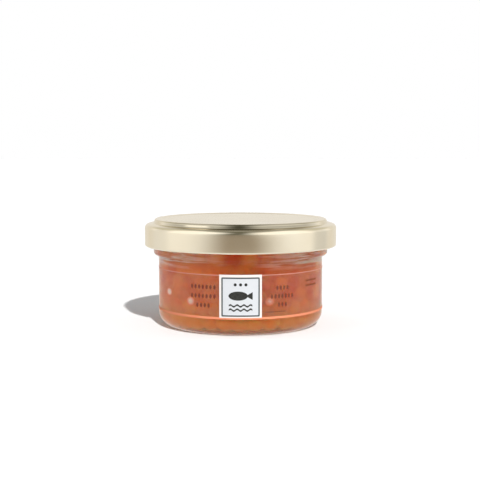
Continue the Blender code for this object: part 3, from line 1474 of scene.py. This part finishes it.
    def core_outline(self) -> list[Vector]:
        """Give the outline of the heap behind the outer eggs.

        Returns:
            The outline's points as (radius, height).
        """
        jar, depth = self.jar, self.core_depth
        radius, floor = jar.inside_radius - depth, jar.floor_edge + depth
        return rounded(
            [
                Corner(0.0, floor + jar.floor_rise),
                Corner(radius, floor, jar.inner_heel - depth),
                Corner(radius, self.top - depth, self.core_fillet),
                Corner(0.0, self.top - depth),
            ]
        )

    def fuse(self, heap: bpy.types.Object) -> None:
        """Let the touching eggs grow together, as soft eggs look behind glass.

        Args:
            heap: The joined eggs and the core behind them.
        """
        choose_only(heap)
        skin = heap.modifiers.new("skin", "REMESH")
        skin.mode, skin.voxel_size = "VOXEL", self.skin_step
        bpy.ops.object.modifier_apply(modifier=skin.name)
        soft = heap.modifiers.new("soft", "SMOOTH")
        soft.factor, soft.iterations = self.softness, self.softening
        bpy.ops.object.modifier_apply(modifier=soft.name)

    def mark(self, heap: bpy.types.Object, centres: Sequence[Vector]) -> None:
        """Write the tone and the oil of the nearest egg to every point.

        Args:
            heap: The fused heap.
            centres: The eggs' centres.
        """
        draw = np.random.default_rng(self.seed)
        middles = np.array(centres)
        tones = draw.random(len(middles))
        aims = draw.normal(size=(len(middles), 3))
        aims /= np.linalg.norm(aims, axis=1, keepdims=True)
        places = np.empty(len(heap.data.vertices) * 3, np.float32)
        heap.data.vertices.foreach_get("co", places)
        tone, oil = [], []
        batches = 24
        for some in np.array_split(places.reshape(-1, 3), batches):
            out = some[:, None] - middles[None]
            far = np.linalg.norm(out, axis=2)
            weight = np.exp((far.min(1, keepdims=True) - far) / self.tone_fade)
            weight /= weight.sum(1, keepdims=True)
            facing = np.einsum("pec,ec->pe", out, aims) / far
            oily = np.clip((facing - self.oil_edge) / self.oil_fade, 0.0, 1.0)
            tone.append((weight * tones).sum(1))
            oil.append((weight * oily).sum(1))
        for title, values in (("egg_tone", tone), ("egg_oil", oil)):
            mark = heap.data.attributes.new(title, "FLOAT", "POINT")
            mark.data.foreach_set("value", np.concatenate(values).astype(np.float32))

    def build_heap(self) -> None:
        """Build every egg and the core behind them as one soft heap."""
        draw = random.Random(self.seed)
        first = self.one_egg()
        parts = [spin_outline("roe_eggs", self.core_outline(), self.core_steps)]
        centres = self.wall_centres(draw) + self.floor_centres(draw)
        for centre in centres:
            size = self.egg_radius + draw.uniform(-self.egg_spread, self.egg_spread)
            stretch = Vector(draw.uniform(*self.egg_stretch) for _ in range(3))
            turn = Euler([draw.uniform(0, math.tau) for _ in range(3)]).to_matrix().to_4x4()
            shape = Matrix.Diagonal((*(stretch * size), 1.0))
            parts.append(copy_to(Matrix.Translation(centre) @ turn @ shape, first))
        heap = join_copies("roe_eggs", first, parts)
        reshape(heap, self.press)
        self.fuse(heap)
        reshape(heap, self.press)
        self.mark(heap, centres)
        hand_over(heap, SalmonEgg().material(), Slot.ROE, Solid.ROE)

    def build_liquid(self) -> None:
        """Build the liquid, which reaches just into the glass so that no gap shows."""
        jar, over = self.jar, self.overlap
        wall, mouth = jar.inside_radius + over, jar.mouth_radius + over
        fillet = jar.shoulder_fillet
        outline = rounded(
            [
                Corner(0.0, jar.floor_edge + jar.floor_rise - over),
                Corner(wall, jar.floor_edge - over, jar.inner_heel + over),
                Corner(wall, jar.shoulder, fillet + over),
                Corner(mouth, jar.mouth_low, fillet - over),
                Corner(mouth, self.liquid_top),
                Corner(0.0, self.liquid_top),
            ]
        )
        hand_over(spin_outline("roe_liquid", outline, jar.steps), Brine().material(), Slot.ROE)

    def air_spots(self) -> list[AirSpot]:
        """Give the pockets that the front shows, those at the back, and the streaks.

        Returns:
            All spots of air.
        """
        draw = random.Random(self.seed + 1)
        spots = list(self.seen_spots)
        for _ in range(self.back_spots):
            size = draw.uniform(*self.back_size)
            along, height = draw.uniform(*self.back_along), draw.uniform(*self.back_height)
            spots.append(AirSpot(along, height, size, size, 1.0))
        lowest, highest = self.streak_limits
        for _ in range(self.streaks):
            height = draw.gauss(self.streak_height, self.streak_scatter)
            width, tall = draw.uniform(*self.streak_width), draw.uniform(*self.streak_tall)
            along = draw.uniform(0, math.tau * self.jar.inside_radius)
            height = min(max(height, lowest), highest)
            spots.append(AirSpot(along, height, width, tall, self.streak_paleness))
        return spots

    def build_pockets(self) -> None:
        """Build the pockets and the long streaks of air that sit against the glass, each pale with
        a painted glint.
        """
        first = self.one_egg()
        depths = [1.0 - math.hypot(point.co.x, point.co.z) for point in first.data.vertices]
        pockets = []
        for spot in self.air_spots():
            middle = Matrix.Translation((spot.along, self.pocket_inset, spot.height))
            half_depth = min(spot.half_height, self.pocket_depth)
            sizes = Matrix.Diagonal((spot.half_width, half_depth, spot.half_height, 1.0))
            pocket = copy_to(middle @ sizes, first)
            core = pocket.data.attributes.new("pocket_glint", "FLOAT", "POINT")
            core.data.foreach_set("value", [spot.paleness * depth for depth in depths])
            pockets.append(pocket)
        piece = join_copies("air_pockets", first, pockets)
        limit = self.jar.inside_radius - self.clearance + self.pocket_stands_out

        def against_wall(points: np.ndarray) -> np.ndarray:
            """Bend the flat row of pockets round the jar, pressed flat where they touch it.

            Args:
                points: Points of the flat row.

            Returns:
                The points on the wall.
            """
            angle = points[:, 0] / self.jar.inside_radius
            reach = np.minimum(limit + self.pocket_lift - points[:, 1], limit)
            return np.stack([reach * np.sin(angle), -reach * np.cos(angle), points[:, 2]], axis=1)

        reshape(piece, against_wall)
        with EditMode(piece) as edit:
            edit.pick_all()
            bpy.ops.mesh.normals_make_consistent(inside=False)
        hand_over(piece, AirPocketGlint().material(), Slot.ROE)

    def build(self) -> None:
        """Build all that fills the jar."""
        self.build_liquid()
        self.build_heap()
        self.build_pockets()


# The lid


@dataclass
class TwistOffLid:
    """The pressed lid: raised panel, sloping rim, rounded shoulder, skirt and curl."""

    radius: float = 36.3
    top: float = 40.3
    bottom: float = 30.0
    sheet: float = 0.5
    panel_radius: float = 32.4
    panel_edge: float = 0.8
    recess_radius: float = 29.0
    recess: float = 0.22
    recess_slope: float = 1.2
    recess_fillet: float = 1.0
    step_radius: float = 33.1
    step_height: float = 38.8
    step_fillet: float = 0.35
    rim_height: float = 38.1
    shoulder: float = 1.5
    curl: float = 0.72
    curl_turn: float = math.radians(200)
    curl_steps: int = 14
    steps: int = 192
    gold: LacqueredGold = field(default_factory=LacqueredGold)

    def outside(self) -> list[Vector]:
        """Give the outer face's outline, from the middle of the top to the curl's end.

        Returns:
            The outline's points as (radius, height).
        """
        outline = rounded(
            [
                Corner(0.0, self.top - self.recess),
                Corner(self.recess_radius, self.top - self.recess, self.recess_fillet),
                Corner(self.recess_radius + self.recess_slope, self.top, self.recess_fillet),
                Corner(self.panel_radius, self.top, self.panel_edge),
                Corner(self.step_radius, self.step_height, self.step_fillet),
                Corner(self.radius, self.rim_height, self.shoulder),
                Corner(self.radius, self.bottom + self.curl),
            ]
        )
        centre = Vector((self.radius - self.curl, self.bottom + self.curl))
        for step in range(1, self.curl_steps + 1):
            turn = Matrix.Rotation(-self.curl_turn * step / self.curl_steps, 2)
            outline.append(centre + turn @ Vector((self.curl, 0.0)))
        return outline

    def outline(self) -> list[Vector]:
        """Give the closed sheet's outline: the outer face, the curl, and the inner face.

        Returns:
            The outline's points as (radius, height).
        """
        outside = self.outside()
        curl_top = self.bottom + 2 * self.curl
        straight = [point for point in outside if point.y > curl_top]
        inner = inset_outline(straight, self.sheet)
        end = Vector((self.radius - self.sheet, curl_top))
        return outside + [end] + list(reversed(inner))

    def build(self) -> None:
        """Build the lid and set it on the frame."""
        lid = spin_outline("lid_gold", self.outline(), self.steps)
        hand_over(lid, self.gold.material(), Slot.GOLD, Solid.LID)


# The label


@dataclass(frozen=True)
class DotRow:
    """A row of printed oval dots on the film: place of its middle, count, pitch and size."""

    middle: float
    height: float
    count: int
    pitch: float
    half_width: float = 0.45
    half_height: float = 0.8


@dataclass
class WrapLabel:
    """The clear film round the jar with its printed bands, dots and square badge."""

    film_radius: float = 31.12
    film_thickness: float = 0.08
    bottom: float = 6.4
    top: float = 22.3
    seam: float = 3.0
    seam_margin: float = 0.2
    strip_height: float = 0.85
    line_height: float = 0.22
    edge_margin: float = 0.02
    ink: float = 0.025
    ink_gap: float = 0.005
    steps: int = 285
    dot_sides: int = 14
    dot_rows: tuple[DotRow, ...] = (
        DotRow(-13.9, 17.8, 7, 1.5),
        DotRow(-13.9, 14.5, 7, 1.5),
        DotRow(-13.9, 11.2, 4, 1.5),
        DotRow(15.6, 17.4, 4, 1.4),
        DotRow(15.6, 14.4, 7, 1.4),
        DotRow(15.6, 11.4, 3, 1.4),
        DotRow(12.9, 8.9, 11, 0.75, 0.2, 0.25),
        DotRow(30.5, 19.0, 8, 0.95, 0.3, 0.35),
        DotRow(30.5, 17.2, 8, 0.95, 0.3, 0.35),
    )
    badge_half: float = 7.6
    badge_low: float = 7.0
    badge_high: float = 22.45
    badge_thickness: float = 0.12
    badge_gap: float = 0.01
    badge_columns: int = 32
    frame_half: float = 6.85
    frame_low: float = 7.5
    frame_high: float = 21.5
    frame_line: float = 0.5
    frame_corner: float = 0.45
    frame_corner_steps: int = 4
    frame_columns: int = 28
    fish_length: float = 8.6
    fish_height: float = 3.5
    fish_level: float = 14.9
    fish_columns: int = 24
    body_share: float = 0.8
    body_bulge: float = 2.3
    tail_start: float = 0.74
    tail_width: float = 0.78
    tail_flare: float = 0.8
    tail_root: float = 0.10
    wave_levels: Span = (11.4, 9.9)
    wave_width: float = 8.4
    wave_line: float = 0.6
    wave_rise: float = 0.32
    wave_count: float = 3.5
    wave_columns: int = 48
    egg_level: float = 18.9
    egg_radius: float = 0.55
    egg_pitch: float = 1.9
    egg_sides: int = 18
    strip_ink: PrintedInk = PrintedInk("salmon_ink", (0.86, 0.29, 0.15), (0.89, 0.33, 0.18))
    line_ink: PrintedInk = PrintedInk("pale_pink_ink", (0.82, 0.42, 0.33), (0.74, 0.33, 0.25))
    dot_ink: PrintedInk = PrintedInk("brown_ink", (0.20, 0.05, 0.025), (0.27, 0.08, 0.045))
    frame_ink: PrintedInk = PrintedInk("slate_ink", (0.07, 0.085, 0.085), (0.09, 0.11, 0.11))
    motif_ink: PrintedInk = PrintedInk("charcoal_ink", (0.03, 0.03, 0.028), (0.06, 0.06, 0.055))

    @property
    def print_radius(self) -> float:
        """Give the radius that the ink lies on."""
        return self.film_radius + self.film_thickness + self.ink_gap

    @property
    def badge_radius(self) -> float:
        """Give the radius that the badge lies on."""
        return self.print_radius + self.ink + self.badge_gap

    @property
    def badge_print_radius(self) -> float:
        """Give the radius that the badge's ink lies on."""
        return self.badge_radius + self.badge_thickness + self.ink_gap

    def build_bands(self) -> None:
        """Build the film and the two printed bands along its edges."""
        film = spin_band(
            "wrap_film",
            self.film_radius,
            self.film_thickness,
            self.bottom,
            self.top,
            self.seam,
            self.steps,
        )
        hand_over(film, WrapFilm().material(), Slot.FILM, Solid.FILM)
        low, high, margin = self.bottom, self.top, self.edge_margin
        for name, start, end, ink in (
            ("label_strip", low + margin, low + self.strip_height, self.strip_ink),
            ("label_line", high - self.line_height, high - margin, self.line_ink),
        ):
            gap = self.seam + self.seam_margin
            band = spin_band(name, self.print_radius, self.ink, start, end, gap, self.steps)
            hand_over(band, ink.material(), Slot.FILM)

    def build_dots(self) -> None:
        """Build the rows of dots, every dot a copy of one."""
        first = flat_dot("label_dots", 0.0, 0.0, 1.0, self.dot_sides)
        dots = []
        for row in self.dot_rows:
            size = Matrix.Diagonal((row.half_width, 1.0, row.half_height, 1.0))
            for index in range(row.count):
                along = row.middle + (index - (row.count - 1) / 2) * row.pitch
                dots.append(copy_to(Matrix.Translation((along, 0, row.height)) @ size, first))
        piece = join_copies("label_dots", first, dots)
        lay_on_wall(piece, self.print_radius, self.ink)
        hand_over(piece, self.dot_ink.material(), Slot.FILM, smooth=False)

    def build_badge(self) -> None:
        """Build the white badge and the thin frame printed on it."""
        half = self.badge_half
        card = flat_plate("badge_card", -half, half, self.badge_low, self.badge_high)
        with EditMode(card) as edit:
            edit.slice_columns(-half, half, self.badge_columns)
        lay_on_wall(card, self.badge_radius, self.badge_thickness)
        paper = BadgePaper(self.frame_half, self.frame_low, self.frame_high)
        hand_over(card, paper.material(), Slot.PAPER, Solid.BADGE)
        half = self.frame_half
        line = flat_plate("badge_frame", -half, half, self.frame_low, self.frame_high)
        with EditMode(line) as edit:
            edit.pick_all()
            bpy.ops.mesh.bevel(
                offset=self.frame_corner, segments=self.frame_corner_steps, affect="VERTICES"
            )
            edit.pick_all()
            bpy.ops.mesh.inset(thickness=self.frame_line)
            bpy.ops.mesh.delete(type="FACE")
            edit.slice_columns(-half, half, self.frame_columns)
        lay_on_wall(line, self.badge_print_radius, self.ink)
        hand_over(line, self.frame_ink.material(), Slot.PAPER, smooth=False)

    def fish(self) -> bpy.types.Object:
        """Draw the little fish that stands in the middle of the badge.

        Returns:
            A flat piece in the front plane.
        """
        piece = flat_plate("badge_motif", 0.0, 1.0, -0.5, 0.5)
        with EditMode(piece) as edit:
            edit.slice_columns(0.0, 1.0, self.fish_columns)
            edit.weld()

        def swim(points: np.ndarray) -> np.ndarray:
            """Give a plain plate the outline of a fish.

            Args:
                points: Points of the plate, which is 1 long and 1 high.

            Returns:
                The points of the fish.
            """
            share = np.clip(points[:, 0], 0.0, 1.0)
            bulge = np.clip(share * (self.body_share - share), 0.0, None)
            body = np.sqrt(bulge) * self.body_bulge
            along_tail = np.clip((share - self.tail_start) / (1.0 - self.tail_start), 0.0, 1.0)
            tail = along_tail**self.tail_flare * self.tail_width
            tall = np.maximum(np.maximum(body, tail), self.tail_root) * self.fish_height
            along = (share - 0.5) * self.fish_length
            return np.stack([along, points[:, 1], self.fish_level + points[:, 2] * tall], axis=1)

        reshape(piece, swim)
        return piece

    def wave(self, level: float) -> bpy.types.Object:
        """Draw one wavy line under the fish.

        Args:
            level: The height of its middle.

        Returns:
            A flat piece in the front plane.
        """
        piece = flat_plate("badge_wave", 0.0, 1.0, -0.5, 0.5)
        with EditMode(piece) as edit:
            edit.slice_columns(0.0, 1.0, self.wave_columns)

        def ripple(points: np.ndarray) -> np.ndarray:
            """Bend a plain strip into waves.

            Args:
                points: Points of the strip, which is 1 long and 1 high.

            Returns:
                The points of the wavy line.
            """
            along = (points[:, 0] - 0.5) * self.wave_width
            rise = self.wave_rise * np.sin(points[:, 0] * math.tau * self.wave_count)
            height = level + rise + points[:, 2] * self.wave_line
            return np.stack([along, points[:, 1], height], axis=1)

        reshape(piece, ripple)
        return piece

    def build_motif(self) -> None:
        """Build the badge's plain ornament: three eggs over a fish over two waves."""
        parts = [self.fish()] + [self.wave(level) for level in self.wave_levels]
        for x in (-self.egg_pitch, 0.0, self.egg_pitch):
            parts.append(flat_dot("badge_egg", x, self.egg_level, self.egg_radius, self.egg_sides))
        piece = join("badge_motif", parts)
        lay_on_wall(piece, self.badge_print_radius, self.ink)
        hand_over(piece, self.motif_ink.material(), Slot.PAPER, smooth=False)

    def build(self) -> None:
        """Build the whole label."""
        self.build_bands()
        self.build_dots()
        self.build_badge()
        self.build_motif()


# The studio


@dataclass
class Studio:
    """A white table, a small key lamp, pale surroundings and the camera before the jar.

    Sizes are in metres. The surroundings are laid out by direction: how far one looks to the
    right, to the back and up, each from -1 to 1.
    """

    camera_place: tuple[float, float, float] = (-0.0002, -0.398, 0.069)
    camera_pitch: float = 0.093
    camera_range: Span = (0.01, 100.0)
    lens: float = 78.6
    sensor: float = 36.0
    key_azimuth: float = math.radians(16)
    key_elevation: float = math.radians(37.5)
    key_strength: float = 3.6
    key_size: float = math.radians(1.8)
    key_aim: float = 0.02
    floor_size: float = 8.0
    white: Colour = (1.0, 1.0, 1.0)
    black: Colour = (0.0, 0.0, 0.0)
    soft_level: float = 0.33
    side_level: float = 1.0
    side_reach: Ramp = Ramp(0.4, 0.9)
    side_height: Ramp = Ramp(0.1, 0.6, 1.0, 0.0)
    behind_reach: Ramp = Ramp(0.3, 0.8)
    behind_height: Ramp = Ramp(0.1, 0.4, 1.0, 0.0)
    roe_glow: Ramp = Ramp(-0.35, 0.1, 1.35, 2.9)
    under_from: float = -0.02
    horizon: Span = (-0.05, 0.05)
    lens_floor: Colour = (0.37, 0.32, 0.26)
    lens_side: Colour = (0.16, 0.155, 0.12)
    lens_aside: Span = (0.02, 0.12)
    lens_high_aside: Ramp = Ramp(0.30, 0.55, after=0.03)
    lens_start: Span = (0.18, 0.02)
    lens_end: Span = (1.02, 0.80)
    lens_high_end: Ramp = Ramp(0.05, 0.60, after=0.45)
    wall_low: Colour = (1.06, 1.06, 1.05)
    wall_high: Colour = (1.27, 1.27, 1.25)
    wall_top: Colour = (0.55, 0.53, 0.47)
    wall_top_height: Ramp = Ramp(0.88, 0.97)
    gap_middle: float = 0.35
    gap_width: Ramp = Ramp(0.10, 0.38, after=1.0)
    gap_low_depth: Ramp = Ramp(-0.5, 0.5, 0.88, 0.72)
    gap_depth: float = 0.70
    gap_top: Ramp = Ramp(0.46, 0.60)
    back_low: Colour = (0.85, 0.815, 0.745)
    back_top: Colour = (0.34, 0.33, 0.285)
    back_side: Colour = (0.68, 0.66, 0.57)
    back_aside: Ramp = Ramp(0.08, 0.38)
    back_height: Ramp = Ramp(0.31, 0.51)
    back_start: Ramp = Ramp(0.30, 0.60, 0.50, 0.10)
    back_fade: float = 0.28
    table: Colour = (0.95, 0.95, 0.95)
    table_height: Ramp = Ramp(-0.45, -0.18)
    table_dim: Colour = (0.42, 0.34, 0.28)

    @staticmethod
    def direction(azimuth: float, elevation: float) -> Vector:
        """Give the direction from the jar to a lamp.

        Args:
            azimuth: The turn to the right, 0 at the front.
            elevation: The angle over the table.

        Returns:
            A direction of length 1.
        """
        flat = math.cos(elevation)
        return Vector((math.sin(azimuth) * flat, -math.cos(azimuth) * flat, math.sin(elevation)))

    def build_key(self) -> None:
        """Add the key lamp, which looks at the jar."""
        towards = self.direction(self.key_azimuth, self.key_elevation)
        data = bpy.data.lights.new("key_lamp", "SUN")
        data.energy, data.angle = self.key_strength, self.key_size
        key = bpy.data.objects.new("key_lamp", data)
        bpy.context.collection.objects.link(key)
        key.location = towards + Vector((0, 0, self.key_aim))
        key.rotation_euler = (-towards).to_track_quat("-Z", "Y").to_euler()
        key.visible_glossy = key.visible_transmission = False

    def over_horizon(self, graph: ShaderGraph, z: Value, values: Span) -> bpy.types.NodeSocket:
        """Give one value below the horizon and another over it."""
        return graph.remap(z, *self.horizon, *values)

    def front_walls(self, graph: ShaderGraph, x: Value, z: Value) -> bpy.types.NodeSocket:
        """Give the dark lens side between the bright walls.

        Args:
            graph: The world's graph.
            x: How far a direction looks to the right.
            z: How far it looks up.

        Returns:
            A colour for each direction.
        """
        over = self.over_horizon(graph, z, (0.0, 1.0))
        dark = graph.blend(over, self.lens_floor, self.lens_side)
        bright = graph.blend(over, self.wall_low, self.wall_high)
        bright = graph.blend(graph.ramp(z, self.wall_top_height), bright, self.wall_top)
        low_aside = self.over_horizon(graph, z, self.lens_aside)
        lens_middle = graph.ramp(z, replace(self.lens_high_aside, before=low_aside))
        aside = graph.size(graph.math("ADD", x, lens_middle))
        start = self.over_horizon(graph, z, self.lens_start)
        low_end = self.over_horizon(graph, z, self.lens_end)
        end = graph.ramp(z, replace(self.lens_high_end, before=low_end))
        return graph.blend(graph.remap(aside, start, end), dark, bright)

    def wall_gap(self, graph: ShaderGraph, x: Value, y: Value, z: Value) -> bpy.types.NodeSocket:
        """Mask the dark gap between the walls at both sides.

        Args:
            graph: The world's graph.
            x: How far a direction looks to the right.
            y: How far it looks to the back.
            z: How far it looks up.

        Returns:
            A share of the walls' light, 1 off the gap.
        """
        off_gap = graph.size(graph.math("SUBTRACT", y, self.gap_middle))
        low_depth = graph.ramp(x, self.gap_low_depth)
        depth = self.over_horizon(graph, z, (low_depth, self.gap_depth))
        gap = graph.ramp(off_gap, replace(self.gap_width, before=depth))
        return graph.math("MAXIMUM", gap, graph.ramp(z, self.gap_top))

    def mirrored(self, graph: ShaderGraph) -> bpy.types.NodeSocket:
        """Give what glossy surfaces mirror: front walls, back wall and table.

        Args:
            graph: The world's graph.

        Returns:
            A colour for each direction.
        """
        x, y, z = self.direction_parts(graph)
        gap = self.wall_gap(graph, x, y, z)
        walls = graph.blend(gap, self.black, self.front_walls(graph, x, z))
        off_middle = graph.ramp(graph.size(x), self.back_aside)
        overhead = graph.blend(off_middle, self.back_top, self.back_side)
        back = graph.blend(graph.ramp(z, self.back_height), self.back_low, overhead)
        back_start = graph.ramp(z, self.back_start)
        behind = graph.remap(y, back_start, graph.math("ADD", back_start, self.back_fade))
        walls = graph.blend(behind, walls, back)
        return graph.blend(graph.ramp(z, self.table_height), self.table, walls)

    @staticmethod
    def direction_parts(graph: ShaderGraph) -> Sequence[bpy.types.NodeSocket]:
        """Give how far each direction looks to the right, to the back and up."""
        return graph.add("SeparateXYZ", {0: graph.add("TexCoord").outputs["Generated"]}).outputs

    def soft_light(self, graph: ShaderGraph) -> bpy.types.NodeSocket:
        """Give the light that reaches dull surfaces, stronger from the sides and low behind.

        Args:
            graph: The world's graph.

        Returns:
            A colour for each direction.
        """
        x, y, z = self.direction_parts(graph)
        beside = graph.ramp(graph.size(x), self.side_reach)
        beside = graph.times(beside, graph.ramp(z, self.side_height))
        behind = graph.ramp(y, self.behind_reach)
        behind = graph.times(behind, graph.ramp(z, self.behind_height))
        strong = graph.math("MAXIMUM", beside, behind)
        return graph.blend(strong, (self.soft_level,) * 3, (self.side_level,) * 3)

    def build_world(self) -> None:
        """Add the pale surroundings, white where the camera sees them."""
        world = bpy.data.worlds.new("studio_walls")
        bpy.context.scene.world = world
        world.use_nodes = True
        graph = ShaderGraph(world.node_tree)
        path = graph.add("LightPath").outputs
        z = self.direction_parts(graph)[2]
        passed = path["Is Transmission Ray"]
        sharp = graph.math("MAXIMUM", path["Is Glossy Ray"], passed)
        lit = graph.blend(sharp, self.soft_light(graph), self.mirrored(graph))
        under = graph.times(passed, graph.math("LESS_THAN", z, self.under_from))
        lit = graph.blend(under, lit, self.table_dim)
        scattered = graph.math("GREATER_THAN", path["Diffuse Depth"], 0.5)
        level = graph.ramp(z, self.roe_glow)
        glow = graph.add("CombineXYZ", {0: level, 1: level, 2: level}).outputs[0]
        lit = graph.blend(graph.times(scattered, passed), lit, glow)
        seen = graph.blend(path["Is Camera Ray"], lit, self.white)
        graph.feed(world.node_tree.nodes["Background"].inputs[0], seen)

    def build_floor(self) -> None:
        """Add the table top."""
        bpy.ops.object.select_all(action="DESELECT")
        bpy.ops.mesh.primitive_plane_add(size=self.floor_size)
        floor = newest("floor")
        floor.visible_glossy = floor.visible_transmission = False
        floor.data.materials.append(StudioFloor().material())

    def build_camera(self) -> None:
        """Add the camera at the photograph's place."""
        data = bpy.data.cameras.new("camera")
        data.lens, data.sensor_width = self.lens, self.sensor
        data.clip_start, data.clip_end = self.camera_range
        camera = bpy.data.objects.new("camera", data)
        bpy.context.collection.objects.link(camera)
        camera.location = self.camera_place
        camera.rotation_euler = (math.pi / 2 - self.camera_pitch, 0, 0)
        bpy.context.scene.camera = camera

    def build(self) -> None:
        """Set up the whole studio."""
        self.build_camera()
        self.build_key()
        self.build_world()
        self.build_floor()
        bpy.context.scene.view_settings.view_transform = "Standard"


def main() -> None:
    """Build the jar, its roe, its lid, its label and the studio round them."""
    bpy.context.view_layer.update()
    jar = GlassJar()
    Studio().build()
    jar.build()
    RoeFill(jar).build()
    TwistOffLid().build()
    WrapLabel().build()


if __name__ == "__main__":
    logging.basicConfig(level=logging.INFO, format="%(name)s %(message)s")
    main()
